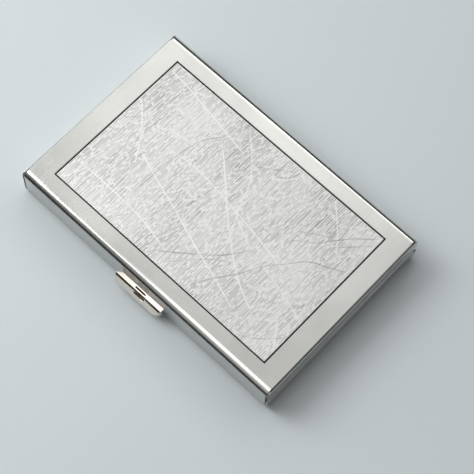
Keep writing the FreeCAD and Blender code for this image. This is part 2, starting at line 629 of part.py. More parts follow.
gx = D.leaf_length / 2 + D.film_thk + 0.03
gap_y0, gap_y1 = D.leaf_front_y + 1.5, D.leaf_rear_y - 0.3
pleated("gusset_left", 1.75, lambda a, b: V(-gx - a, gap_y0, b), V(0, gap_y1 - gap_y0, 0))
pleated("gusset_right", 1.75, lambda a, b: V(gx + a, gap_y0, b), V(0, gap_y1 - gap_y0, 0))
gy = D.leaf_rear_y + D.film_thk + 0.03
pleated("organiser_spine", 1.3, lambda a, b: V(-D.leaf_length / 2 + 0.5, gy + a, b), V(D.leaf_length - 1.0, 0, 0))

# ----------------------------------------------------------------------------------
# Check and write
# ----------------------------------------------------------------------------------
doc.recompute()
bad = [o.Name for o in doc.Objects if {"Invalid", "Error"} & set(o.State)]
if bad:
    raise RuntimeError("failed objects: " + ", ".join(bad))
os.makedirs("parts", exist_ok=True)
for o in NODES:
    s = o.Shape
    if s.isNull() or not s.isValid() or not s.Solids:
        raise RuntimeError("bad shape: " + o.Label)
for o in NODES:
    o.Shape.exportStep(os.path.join("parts", o.Label + ".step"))
    b = o.Shape.BoundBox
    print("%-22s solids %2d vol %9.2f  x %7.2f %7.2f  y %7.2f %7.2f  z %6.2f %6.2f" % (
        o.Label, len(o.Shape.Solids), o.Shape.Volume, b.XMin, b.XMax, b.YMin, b.YMax, b.ZMin, b.ZMax))
print(len(NODES), "nodes")
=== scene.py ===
import bpy, bmesh, math, random
import numpy as np
from mathutils import Vector, Matrix


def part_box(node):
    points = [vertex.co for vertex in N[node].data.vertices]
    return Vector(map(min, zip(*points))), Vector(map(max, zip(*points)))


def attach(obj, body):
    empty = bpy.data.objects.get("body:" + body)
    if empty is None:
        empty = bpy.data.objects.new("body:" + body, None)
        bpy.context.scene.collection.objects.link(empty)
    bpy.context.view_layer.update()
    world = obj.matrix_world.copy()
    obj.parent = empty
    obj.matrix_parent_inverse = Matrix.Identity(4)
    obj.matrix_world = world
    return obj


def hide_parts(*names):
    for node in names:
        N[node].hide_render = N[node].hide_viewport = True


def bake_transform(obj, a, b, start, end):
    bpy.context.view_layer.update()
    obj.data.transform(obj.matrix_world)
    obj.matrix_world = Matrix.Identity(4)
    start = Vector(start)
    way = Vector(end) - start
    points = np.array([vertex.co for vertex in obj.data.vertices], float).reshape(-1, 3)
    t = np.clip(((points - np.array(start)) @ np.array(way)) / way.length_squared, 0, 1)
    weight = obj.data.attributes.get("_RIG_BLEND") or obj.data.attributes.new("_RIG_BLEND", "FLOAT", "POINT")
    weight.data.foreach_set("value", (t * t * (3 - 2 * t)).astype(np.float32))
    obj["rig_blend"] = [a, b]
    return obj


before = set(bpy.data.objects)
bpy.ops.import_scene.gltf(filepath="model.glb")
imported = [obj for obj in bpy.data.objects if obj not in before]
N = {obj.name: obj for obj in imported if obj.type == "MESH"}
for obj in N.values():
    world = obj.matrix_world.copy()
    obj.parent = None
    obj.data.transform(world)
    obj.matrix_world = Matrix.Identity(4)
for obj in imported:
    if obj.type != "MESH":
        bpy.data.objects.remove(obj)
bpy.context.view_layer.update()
SC = bpy.context.scene
MM = 0.001

# the case's own middle in the row frame: geometry below is written in mm round it
_lo, _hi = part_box("lid_inlay_panel")
OY = (_lo[1] + _hi[1]) / 2 / MM
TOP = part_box("lid_shell")[1][2] / MM
PANEL_TOP = _hi[2] / MM
PX, PY = (_hi[0] - _lo[0]) / 2 / MM, (_hi[1] - _lo[1]) / 2 / MM


# ------------------------------------------------------------------ node helpers
def new_mat(name):
    m = bpy.data.materials.new(name)
    m.use_nodes = True
    nt = m.node_tree
    nt.nodes.clear()
    out = nt.nodes.new("ShaderNodeOutputMaterial")
    bs = nt.nodes.new("ShaderNodeBsdfPrincipled")
    nt.links.new(bs.outputs[0], out.inputs[0])
    return m, nt, bs


class G:
    """Short hand for building a node tree."""

    def __init__(self, nt):
        self.nt = nt
        self.tc = nt.nodes.new("ShaderNodeTexCoord").outputs["Object"]

    def n(self, kind, **props):
        nd = self.nt.nodes.new(kind)
        for k, v in props.items():
            setattr(nd, k, v)
        return nd

    def link(self, a, b):
        self.nt.links.new(a, b)

    def mapping(self, scale=(1, 1, 1), rot=(0, 0, 0), loc=(0, 0, 0), src=None):
        m = self.n("ShaderNodeMapping")
        m.inputs["Scale"].default_value = scale
        m.inputs["Rotation"].default_value = rot
        m.inputs["Location"].default_value = loc
        self.link(src or self.tc, m.inputs["Vector"])
        return m.outputs[0]

    def noise(self, vec, scale, detail=2.0, rough=0.5, dist=0.0):
        t = self.n("ShaderNodeTexNoise")
        t.inputs["Scale"].default_value = scale
        t.inputs["Detail"].default_value = detail
        t.inputs["Roughness"].default_value = rough
        t.inputs["Distortion"].default_value = dist
        self.link(vec, t.inputs["Vector"])
        return t.outputs["Fac"]

    def range(self, v, a, b, c, d, smooth=False):
        r = self.n("ShaderNodeMapRange")
        if smooth:
            r.interpolation_type = "SMOOTHSTEP"
        for i, x in zip((1, 2, 3, 4), (a, b, c, d)):
            r.inputs[i].default_value = x
        self.link(v, r.inputs[0])
        return r.outputs[0]

    def math(self, op, a, b=None):
        m = self.n("ShaderNodeMath", operation=op)
        for i, x in enumerate((a, b)):
            if x is None:
                continue
            if isinstance(x, (int, float)):
                m.inputs[i].default_value = x
            else:
                self.link(x, m.inputs[i])
        return m.outputs[0]

    def mix(self, fac, a, b):
        m = self.n("ShaderNodeMix", data_type="RGBA")
        if isinstance(fac, (int, float)):
            m.inputs[0].default_value = fac
        else:
            self.link(fac, m.inputs[0])
        for i, x in ((6, a), (7, b)):
            if isinstance(x, (tuple, list)):
                m.inputs[i].default_value = (*x[:3], 1)
            else:
                self.link(x, m.inputs[i])
        return m.outputs[2]

    def bump(self, height, strength, dist, normal=None):
        b = self.n("ShaderNodeBump")
        b.inputs["Strength"].default_value = strength
        b.inputs["Distance"].default_value = dist
        self.link(height, b.inputs["Height"])
        if normal is not None:
            self.link(normal, b.inputs["Normal"])
        return b.outputs[0]


def hairlines(g, seeds, scale, sparse):
    """Sparse long thin scratches in a few directions: stretched noise, only its peaks."""
    total = None
    for i, (ang, off) in enumerate(seeds):
        v = g.mapping(scale=(scale, scale * 0.012, scale * 0.012), rot=(0, 0, ang), loc=(off, off * 0.37, 0))
        f = g.noise(v, 1.0, 1.0, 0.4)
        f = g.range(f, sparse, sparse + 0.06, 0.0, 1.0)
        # break the lines up along their length
        k = g.noise(g.mapping(scale=(90, 90, 90), rot=(0, 0, ang), loc=(off * 3, 1, 2)), 1.0, 1.0)
        f = g.math("MULTIPLY", f, g.range(k, 0.48, 0.60, 0.0, 1.0))
        total = f if total is None else g.math("MAXIMUM", total, f)
    return total


def steel(name, tint, rough, rough_var, scratch=0.5, wave=0.4, brushed=None):
    m, nt, bs = new_mat(name)
    g = G(nt)
    bs.inputs["Metallic"].default_value = 1.0
    broad = g.noise(g.mapping(scale=(60, 60, 60)), 1.0, 3.0)
    fine = g.noise(g.mapping(scale=(2600, 2600, 2600)), 1.0, 2.0, 0.6)
    hair = hairlines(g, [(0.35, 3.1), (-0.6, 7.7), (1.25, 11.9), (2.2, 5.3)], 2600, 0.66)
    dark = tuple(c * 0.90 for c in tint)
    lite = tuple(min(1.0, c * 1.05) for c in tint)
    col = g.mix(g.range(broad, 0.3, 0.7, 0, 1), dark, lite)
    col = g.mix(g.math("MULTIPLY", hair, 0.25 * scratch), col, lite)
    g.link(col, bs.inputs["Base Color"])
    r = g.range(broad, 0.25, 0.75, rough - rough_var, rough + rough_var)
    r = g.math("ADD", r, g.range(fine, 0.2, 0.8, -0.03, 0.04))
    r = g.math("ADD", r, g.math("MULTIPLY", hair, 0.18 * scratch))
    g.link(r, bs.inputs["Roughness"])
    nrm = g.bump(g.noise(g.mapping(scale=(42, 42, 42)), 1.0, 2.0), wave, 0.00035)
    if brushed:
        b = g.noise(g.mapping(scale=brushed), 1.0, 2.0, 0.6)
        nrm = g.bump(b, 0.25, 0.00002, nrm)
    nrm = g.bump(fine, 0.05, 0.00002, nrm)
    nrm = g.bump(hair, 0.35 * scratch, -0.00002, nrm)
    g.link(nrm, bs.inputs["Normal"])
    return m


# painted shade: a darker-tinted copy of the polished steel, put on the upright walls
M_WALL_SHADE = steel("side_walls_painted_shade", (0.56, 0.563, 0.55), 0.19, 0.03, 0.35, 0.12)
M_STEEL = steel("polished_stainless", (0.725, 0.728, 0.693), 0.15, 0.025, 0.35, 0.12)
# painted shade: near-black steel put in the inlay groove, the corner slits and the rear notch, where shade falls
M_SHADE_DARK = steel("painted_shade_dark", (0.045, 0.045, 0.042), 0.6, 0.05, 0.2, 0.1)
M_INSIDE = steel("stainless_inside", (0.74, 0.74, 0.735), 0.26, 0.05, 0.5, 0.2, brushed=(60, 4200, 4200))
# the darker tint is painted shade, set to damp a bright reflection at the hinge ends
M_HINGE = steel("hinge_steel", (0.432, 0.432, 0.429), 0.24, 0.05, 0.4, 0.1, brushed=(5200, 300, 300))
M_SPRING = steel("spring_steel", (0.52, 0.53, 0.55), 0.28, 0.06, 0.4, 0.1, brushed=(120, 5200, 5200))
M_NICKEL = steel("warm_nickel", (0.90, 0.825, 0.735), 0.14, 0.03, 0.3, 0.06)
M_RECESS = steel("recess_shadow", (0.13, 0.11, 0.085), 0.45, 0.05, 0.2, 0.1)


def panel_material(name):
    """Silver foil: the pressed-in strokes get painted shade and are duller, the raised lines get a painted highlight
    and are cleaner.
    """
    m, nt, bs = new_mat(name)
    g = G(nt)
    bs.inputs["Metallic"].default_value = 0.45
    h = g.n("ShaderNodeAttribute", attribute_type="GEOMETRY", attribute_name="emboss").outputs["Fac"]
    s1 = g.noise(g.mapping(scale=(3600, 520, 400)), 1.0, 2.0, 0.6)
    s2 = g.noise(g.mapping(scale=(5200, 900, 400), rot=(0, 0, 0.05), loc=(3, 7, 0)), 1.0, 1.0, 0.5)
    s = g.math("ADD", g.math("MULTIPLY", s1, 0.7), g.math("MULTIPLY", s2, 0.4))
    broad = g.noise(g.mapping(scale=(70, 70, 70), loc=(5, 1, 0)), 1.0, 3.0)
    # painted shade in the pressed-in strokes and painted highlight on the raised lines, driven by the emboss height
    low = g.mix(g.range(h, 0.0, 0.5, 0, 1), (0.13, 0.132, 0.128), (0.87, 0.876, 0.858))
    col = g.mix(g.range(h, 0.5, 1.0, 0, 1), low, (1.0, 1.0, 0.985))
    col = g.mix(g.range(s, 0.50, 0.72, 0.0, 0.22), col, (0.52, 0.525, 0.515))
    col = g.mix(g.range(broad, 0.3, 0.7, 0.0, 0.15), col, (0.86, 0.866, 0.85))
    g.link(col, bs.inputs["Base Color"])
    r = g.math("ADD", g.range(h, 0.0, 1.0, 0.52, 0.32), g.range(broad, 0.3, 0.7, -0.03, 0.03))
    g.link(r, bs.inputs["Roughness"])
    g.link(g.bump(s, 0.4, 0.00004), bs.inputs["Normal"])
    return m


M_PANEL = panel_material("embossed_silver")


def film_material(name):
    m, nt, bs = new_mat(name)
    g = G(nt)
    grain = g.n("ShaderNodeTexVoronoi", feature="F1")
    g.link(g.mapping(scale=(1500, 1500, 1500)), grain.inputs["Vector"])
    grain.inputs["Scale"].default_value = 1.0
    gf = grain.outputs["Distance"]
    broad = g.noise(g.mapping(scale=(55, 55, 55)), 1.0, 4.0)
    smear = g.noise(g.mapping(scale=(260, 60, 60), rot=(0, 0, 0.5)), 1.0, 3.0)
    col = g.mix(g.range(broad, 0.3, 0.7, 0, 1), (0.018, 0.018, 0.020), (0.034, 0.034, 0.036))
    col = g.mix(g.range(gf, 0.5, 0.9, 0.0, 0.3), col, (0.012, 0.012, 0.013))
    g.link(col, bs.inputs["Base Color"])
    r = g.math("ADD", g.range(smear, 0.3, 0.7, 0.28, 0.42), g.range(broad, 0.3, 0.7, -0.04, 0.05))
    g.link(r, bs.inputs["Roughness"])
    n1 = g.bump(gf, 0.22, -0.00004)
    n1 = g.bump(broad, 0.25, 0.0003, n1)
    g.link(n1, bs.inputs["Normal"])
    return m


M_FILM = film_material("black_film")


def tape_material(name):
    m, nt, bs = new_mat(name)
    g = G(nt)
    f = g.noise(g.mapping(scale=(900, 900, 900)), 1.0, 4.0, 0.7)
    b = g.noise(g.mapping(scale=(80, 80, 80)), 1.0, 2.0)
    col = g.mix(g.range(f, 0.3, 0.7, 0, 1), (0.72, 0.69, 0.60), (0.84, 0.82, 0.75))
    col = g.mix(g.range(b, 0.3, 0.7, 0, 0.3), col, (0.66, 0.62, 0.52))
    g.link(col, bs.inputs["Base Color"])
    g.link(g.range(f, 0.3, 0.7, 0.55, 0.8), bs.inputs["Roughness"])
    g.link(g.bump(f, 0.3, 0.00003), bs.inputs["Normal"])
    return m


M_TAPE = tape_material("tissue_tape")

# ------------------------------------------------------------------ mesh helpers
def add(name, mesh, mat, smooth=True):
    ob = bpy.data.objects.new(name, mesh)
    SC.collection.objects.link(ob)
    mesh.materials.clear()
    mesh.materials.append(mat)
    mesh.polygons.foreach_set("use_smooth", [smooth] * len(mesh.polygons))
    return ob


def from_pydata(name, verts, faces, mat, smooth=True):
    """verts in mm round the case's middle."""
    me = bpy.data.meshes.new(name)
    v = np.array(verts, float).reshape(-1, 3)
    v = (v + (0, OY, 0)) * MM
    me.from_pydata(v.tolist(), [], faces)
    me.validate()
    me.update()
    return add(name, me, mat, smooth)


def apply_mods(ob):
    dg = bpy.context.evaluated_depsgraph_get()
    dg.update()
    me = bpy.data.meshes.new_from_object(ob.evaluated_get(dg), preserve_all_data_layers=True, depsgraph=dg)
    old = ob.data
    ob.modifiers.clear()
    ob.data = me
    bpy.data.meshes.remove(old)
    return ob


def finish_edges(ob, width, segments=2, angle=35, weighted=True):
    b = ob.modifiers.new("bevel", "BEVEL")
    b.width = width * MM
    b.segments = segments
    b.limit_method = "ANGLE"
    b.angle_limit = math.radians(angle)
    b.harden_normals = False
    b.miter_outer = "MITER_ARC"
    if weighted:
        w = ob.modifiers.new("wn", "WEIGHTED_NORMAL")
        w.keep_sharp = False
        w.weight = 80
    return apply_mods(ob)


def finished_copy(node, name, mat, body, width=0.06, segments=2, clean=True, shoulder=None):
    """A CAD piece with its edges broken and its faces shaded smoothly."""
    src = N[node]
    me = src.data.copy()
    me.name = name
    bm = bmesh.new()
    bm.from_mesh(me)
    bmesh.ops.remove_doubles(bm, verts=bm.verts, dist=2e-7)
    if clean:
        bmesh.ops.dissolve_limit(bm, angle_limit=math.radians(0.6), verts=bm.verts, edges=bm.edges)
    if shoulder is not None:
        # the pressing rolls over into the panel's recess
        gx, gy = PX + 0.25, PY + 0.25
        rim = []
        for e in bm.edges:
            vs = [(abs(v.co.x / MM), abs(v.co.y / MM - OY), v.co.z / MM) for v in e.verts]
            if all(abs(z - shoulder) < 0.01 and x < gx + 0.03 and y < gy + 0.03 and (x > gx - 0.03 or y > gy - 0.03) for x, y, z in vs):
                rim.append(e)
        if rim:
            bmesh.ops.bevel(bm, geom=rim, offset=0.21 * MM, segments=4, profile=0.5, affect="EDGES", clamp_overlap=True)
    bm.to_mesh(me)
    bm.free()
    for a in list(me.attributes):
        if a.name == "custom_normal":
            me.attributes.remove(a)
    ob = add(name, me, mat)
    finish_edges(ob, width, segments)
    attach(ob, body)
    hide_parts(node)
    return ob


# ------------------------------------------------------------------ camera
def rot(az, el, roll):
    cp, sp, cr, sr = math.cos(el), math.sin(el), math.cos(roll), math.sin(roll)
    z = np.array([math.sin(az) * cp, -math.cos(az) * cp, sp])
    x = np.cross([0, 0, 1.0], z)
    x /= np.linalg.norm(x)
    y = np.cross(z, x)
    return np.array([cr * x + sr * y, -sr * x + cr * y, z])


R = rot(math.radians(39.3), math.radians(68.3), math.radians(4.1))
K = 81.5 / 83.0
cam_pos = R.T @ (np.array([6.0, -8.9, 438.0]) * K) + np.array([0, OY, TOP])
cd = bpy.data.cameras.new("camera")
cam = bpy.data.objects.new("camera", cd)
SC.collection.objects.link(cam)
mw = Matrix.Identity(4)
for i in range(3):
    for j in range(3):
        mw[i][j] = float(R[j][i])
    mw[i][3] = float(cam_pos[i]) * MM
cam.matrix_world = mw
cd.sensor_width = 36
cd.lens = 1508 / 474 * 36
cd.shift_x = -3.0 / 474
cd.clip_start = 0.01
cd.clip_end = 20
SC.camera = cam

# ------------------------------------------------------------------ floor and light
def floor_material():
    m, nt, bs = new_mat("pale_table")
    g = G(nt)
    f = g.noise(g.mapping(scale=(14, 14, 14)), 1.0, 3.0)
    fine = g.noise(g.mapping(scale=(700, 700, 700)), 1.0, 3.0)
    col = g.mix(g.range(f, 0.3, 0.7, 0, 1), (0.705, 0.762, 0.786), (0.718, 0.775, 0.799))
    col = g.mix(g.range(fine, 0.3, 0.7, 0.0, 0.12), col, (0.68, 0.735, 0.758))
    g.link(col, bs.inputs["Base Color"])
    g.link(g.range(fine, 0.3, 0.7, 0.55, 0.65), bs.inputs["Roughness"])
    bs.inputs["Specular IOR Level"].default_value = 0.25
    return m


me = bpy.data.meshes.new("floor")
S = 3.0
me.from_pydata([(-S, -S, 0), (S, -S, 0), (S, S, 0), (-S, S, 0)], [], [(0, 1, 2, 3)])
fl = add("floor", me, floor_material(), False)
fl.location.z = -0.00002


def area(name, zenith, azimuth, dist, sx, sy, radiance, color=(1.0, 0.998, 0.99)):
    """A softbox that faces the case, given by the angle from straight up and round from +X."""
    z, a = math.radians(zenith), math.radians(azimuth)
    p = Vector((math.sin(z) * math.cos(a), math.sin(z) * math.sin(a), math.cos(z))) * dist
    ld = bpy.data.lights.new(name, "AREA")
    ld.shape = "RECTANGLE"
    ld.size, ld.size_y = sx, sy
    ld.energy = radiance * math.pi * sx * sy
    ld.color = color
    ob = bpy.data.objects.new(name, ld)
    SC.collection.objects.link(ob)
    ob.location = p
    ob.rotation_euler = (-p).to_track_quat("-Z", "Y").to_euler()
    return ob


for i, (zn, az, ds, sx, sy, rad) in enumerate([
    (20, 246, 0.8, 0.26, 0.42, 1.18), (10, 200, 0.8, 0.26, 0.26, 0.45),
    (25, 105, 0.8, 0.26, 0.26, 0.06), (30, 130, 0.8, 0.26, 0.26, 0.2),
    (42, 191, 0.6, 0.30, 0.34, 2.75), (42, 212, 0.6, 0.30, 0.30, 1.75),
    (62, 152, 0.5, 0.26, 0.22, 0.6), (60, 207, 0.5, 0.30, 0.30, 1.3),
    (52, 118, 0.6, 0.22, 0.09, 1.5), (52, 98, 0.6, 0.24, 0.09, 1.6),
]):
    area("softbox_%d" % i, zn, az, ds, sx, sy, rad)

# a dim room with a broad soft ceiling, brighter to the left, dark near the horizon:
# (angle from straight up, angle round from +X, strength) of wide soft lobes
ROOM = [
    (22, 120, 0.44), (22, 180, 0.20), (22, 300, 0.08), (44, 54, 0.50), (44, 90, 0.38),
    (44, 126, 0.90), (44, 162, 0.22), (44, 198, 0.74), (44, 270, 0.64),
    (66, 60, 0.44), (66, 160, 0.22), (66, 206, 0.24), (66, 250, 0.03),
]
w = bpy.data.worlds.new("studio")
SC.world = w
w.use_nodes = True
wt = w.node_tree
wt.nodes.clear()
wo = wt.nodes.new("ShaderNodeOutputWorld")
wb = wt.nodes.new("ShaderNodeBackground")
wt.links.new(wb.outputs[0], wo.inputs[0])
tc = wt.nodes.new("ShaderNodeTexCoord")
total = None
for zn, az, val in ROOM:
    z, a = math.radians(zn), math.radians(az)
    dp = wt.nodes.new("ShaderNodeVectorMath")
    dp.operation = "DOT_PRODUCT"
    dp.inputs[1].default_value = (math.sin(z) * math.cos(a), math.sin(z) * math.sin(a), math.cos(z))
    wt.links.new(tc.outputs["Generated"], dp.inputs[0])
    mx = wt.nodes.new("ShaderNodeMath")
    mx.operation = "MAXIMUM"
    mx.inputs[1].default_value = 0.0
    wt.links.new(dp.outputs["Value"], mx.inputs[0])
    pw = wt.nodes.new("ShaderNodeMath")
    pw.operation = "POWER"
    pw.inputs[1].default_value = 18.0
    wt.links.new(mx.outputs[0], pw.inputs[0])
    ml = wt.nodes.new("ShaderNodeMath")
    ml.operation = "MULTIPLY_ADD"
    ml.inputs[1].default_value = val
    ml.inputs[2].default_value = 0.0
    wt.links.new(pw.outputs[0], ml.inputs[0])
    if total is not None:
        wt.links.new(total, ml.inputs[2])
    total = ml.outputs[0]
wt.links.new(total, wb.inputs[0])
wb.inputs[1].default_value = 1.0
SC.view_settings.view_transform = "Standard"
SC.view_settings.look = "None"

# ------------------------------------------------------------------ shells
def groove_slots(ob, up):
    """The narrow groove round the inlay gets painted shade: near-black, rough steel."""
    me = ob.data
    me.materials.append(M_SHADE_DARK)
    gx, gy = PX + 0.25, PY + 0.25
    for p in me.polygons:
        c = p.center
        x, y, z = abs(c[0] / MM), abs(c[1] / MM - OY), c[2] / MM
        depth = (TOP - z) if up else z
        if x < gx + 0.02 and y < gy + 0.02 and 0.07 < depth < 0.405 and (p.normal.z > 0.3) == up or (
                x < gx + 0.02 and y < gy + 0.02 and 0.07 < depth < 0.405 and abs(p.normal.z) < 0.3):
            p.material_index = 2


def inside_slots(ob, up):
    """Gives the faces that look into the case the duller inside finish."""
    me = ob.data
    me.materials.append(M_INSIDE)
    zmid = (0.0 if up else TOP) * MM
    idx = np.zeros(len(me.polygons), np.int32)
    for p in me.polygons:
        c, n = p.center, p.normal
        x, y = c[0] / MM, c[1] / MM - OY
        if up:      # lid: inside faces look down, or inward from the walls
            inner = (n.z < -0.5) or (n.z < 0.7 and (x * n.x < -1e-9 and abs(n.x) > 0.5 or y * n.y < -1e-9 and abs(n.y) > 0.5))
        else:
            inner = (n.z > 0.5) or (n.z > -0.7 and (x * n.x < -1e-9 and abs(n.x) > 0.5 or y * n.y < -1e-9 and abs(n.y) > 0.5))
        idx[p.index] = 1 if inner else 0
    me.polygons.foreach_set("material_index", idx)


lid = finished_copy("lid_shell", "lid_shell_pressing", M_STEEL, "lid", 0.10, 3, shoulder=TOP)
inside_slots(lid, True)
groove_slots(lid, True)
base = finished_copy("base_shell", "base_shell_pressing", M_STEEL, "base", 0.035, 2)
inside_slots(base, False)
groove_slots(base, False)


def wall_slots(ob):
    """The upright walls get painted shade: a darker tint than the top, and a little more roughness."""
    me = ob.data
    me.materials.append(M_WALL_SHADE)
    k = len(me.materials) - 1
    idx = np.zeros(len(me.polygons), np.int32)
    me.polygons.foreach_get("material_index", idx)
    for p in me.polygons:
        if idx[p.index] == 0 and abs(p.normal.z) < 0.42:
            idx[p.index] = k
    me.polygons.foreach_set("material_index", idx)


def corner_slots(ob):
    """The cut edges inside the open corner slits, and the top of the rear notch, get the painted shade."""
    for p in ob.data.polygons:
        x, y, z = abs(p.center[0] / MM), p.center[1] / MM - OY, p.center[2] / MM
        slit = 46.3 < x < 47.95 and y < -29.3 and 0.5 < z < 9.9 and abs(p.normal.z) < 0.5
        notch = x > 46.5 and y > 30.4 and 4.4 < z < 5.7 and p.normal.z > 0.5
        # painted shade on the slit edges, and on the notch top to hide a bright reflection
        if slit or notch:
            p.material_index = 2


wall_slots(lid)
wall_slots(base)
corner_slots(lid)
corner_slots(base)

for node, body in (("lid_hinge_leaf", "lid"), ("base_hinge_leaf", "base")):
    o = finished_copy(node, node + "_rolled", M_HINGE, body, 0.05, 2)
for node, body, mat, sl in (("hinge_pin", "base", M_HINGE, "hinge_steel"), ("keeper_plate", "base", M_SPRING, "spring_steel"),
                            ("clasp_rivets", "clasp", M_NICKEL, "nickel")):
    o = finished_copy(node, node + "_finish", mat, body, 0.05, 2)
for node in ("lid_inlay_adhesive", "base_inlay_adhesive", "lid_leaf_adhesive", "base_leaf_adhesive"):
    me = N[node].data
    me.materials.clear()
    me.materials.append(M_TAPE)

# ------------------------------------------------------------------ embossed panels
# long creases across the panel, raised (+) or sunk (-): points in mm from the panel's middle
CREASES = [
    (+1.0, 0.17, [(-39.7, 21.9), (-36, 21.6), (-32, 21.2), (-18, 18.9), (-5, 16.6)]),
    (+0.9, 0.15, [(-10.8, 24.4), (-3.0, 16.8), (1.4, 11.2), (4.2, 4.2), (7.6, -2.6), (9.4, -6.8), (10.2, -11)]),
    (+1.0, 0.18, [(-14.7, 16.2), (-8, 10.6), (-1.5, 4.4), (5, -1.6), (12, -7.4), (17.8, -11.7), (23, -14.6), (28.2, -17.1)]),
    (+0.9, 0.15, [(-24, 2.6), (-18, 3.8), (-9.4, 3.8), (1.4, 2.6), (12.8, 0.8), (27.8, -2.1)]),
    (+1.0, 0.17, [(-29.4, -2.6), (-20.8, -5.6), (-7.2, -9.9), (5.6, -14.2), (14.2, -16.7), (23.1, -19.9)]),
    (+0.9, 0.16, [(-39, -17.4), (-26, -17.4), (-15, -17.9), (-7.2, -19.1), (-2.9, -20.3)]),
    (+0.9, 0.15, [(-39.7, 9.0), (-34.4, 3.7), (-28.6, -4.2), (-27.2, -6.7)]),
    (+0.8, 0.14, [(22.8, 24.4), (29.9, 17.2), (34.6, 11.5)]),
    (+0.8, 0.14, [(4.2, 2.2), (9, -0.6), (15.6, -3.5)]),
    (+0.8, 0.14, [(24.2, -8.1), (26.4, -11.4), (27.4, -16), (27.8, -20.6)]),
    (+0.9, 0.15, [(35.6, -14.2), (38.4, -18.2), (40.6, -21.4)]),
    (+0.6, 0.14, [(21.3, -4.9), (30, -6.8), (40.6, -9.9)]),
    (+0.6, 0.14, [(-32.2, -8.5), (-28, -16), (-25, -24.2)]),
    (+0.6, 0.14, [(-27.2, 8.0), (-22, 8.4), (-17.2, 9.1)]),
    (+0.6, 0.13, [(-38, -20.5), (-36, -22), (-35.0, -24.4)]),
    (-1.0, 0.20, [(9.9, 24.2), (8.5, 20.4), (5.6, 18.0)]),
    (-0.9, 0.18, [(8.6, 23), (4, 19.6), (-0.8, 16.4)]),
    (-0.8, 0.18, [(-1.2, 23.8), (-2.2, 20.8), (-2.6, 15.0), (-3.0, 11.0)]),
    (-1.0, 0.22, [(39.4, 23.6), (34.2, 18.8), (30.6, 14.6), (28.1, 11.2)]),
    (-0.9, 0.18, [(40.6, 21.8), (36, 17.2), (31.4, 12.6)]),
    (-0.8, 0.18, [(30.8, 15.8), (25, 12.2), (21.2, 9.7)]),
    (-1.0, 0.20, [(40.6, 10.4), (35.6, 7.9), (29.9, 5.1), (25.6, 0.1), (21.4, -5.0), (17.8, -11.4), (13.4, -17.6), (9.8, -24.2)]),
    (-0.8, 0.16, [(21.4, 5.8), (23.5, 7.9), (28.4, 11.2)]),
    (-0.7, 0.16, [(32.8, 3.6), (29.5, 0.8)]),
    (-0.7, 0.16, [(40.6, 5.0), (37.6, 3.6)]),
    (-1.0, 0.20, [(15.6, -3.6), (11.4, -9.6), (5.6, -14.9), (-4.4, -22.8)]),
    (-0.8, 0.18, [(14.2, -10), (8.5, -14.2), (0, -23.4)]),
    (-0.9, 0.18, [(40.6, -15.7), (34.9, -21.4), (30.6, -24.2)]),
    (-1.0, 0.20, [(-14, 17.2), (-17.9, 11.2), (-19.4, 5.8), (-20.4, -2.8), (-20.8, -14.2)]),
    (-0.7, 0.16, [(-11.1, 3.4), (-14.4, 0.4)]),
    (-0.8, 0.18, [(-36.2, 4.7), (-39.7, 1.2)]),
    (-0.7, 0.16, [(-16.5, -18.9), (-20.8, -24.2)]),
    (-0.7, 0.16, [(-5.8, -2.8), (-7.9, -8.5), (-10, -15.6)]),
    (-0.6, 0.16, [(-37.2, 17.2), (-39, 11.2)]),
    (-0.6, 0.16, [(24, 17.0), (17, 20.6), (14.5, 22.8)]),
]


def smooth_path(pts, n=14):
    """Catmull-Rom through the points."""
    p = [np.array(q, float) for q in pts]
    p = [2 * p[0] - p[1]] + p + [2 * p[-1] - p[-2]]
    out = []
    for i in range(1, len(p) - 2):
        for k in range(n):
            t = k / n
            out.append(0.5 * ((2 * p[i]) + (-p[i - 1] + p[i + 1]) * t + (2 * p[i - 1] - 5 * p[i] + 4 * p[i + 1] - p[i + 2]) * t * t
                              + (-p[i - 1] + 3 * p[i] - 3 * p[i + 1] + p[i + 2]) * t ** 3))
    out.append(p[-2])
    return np.array(out)


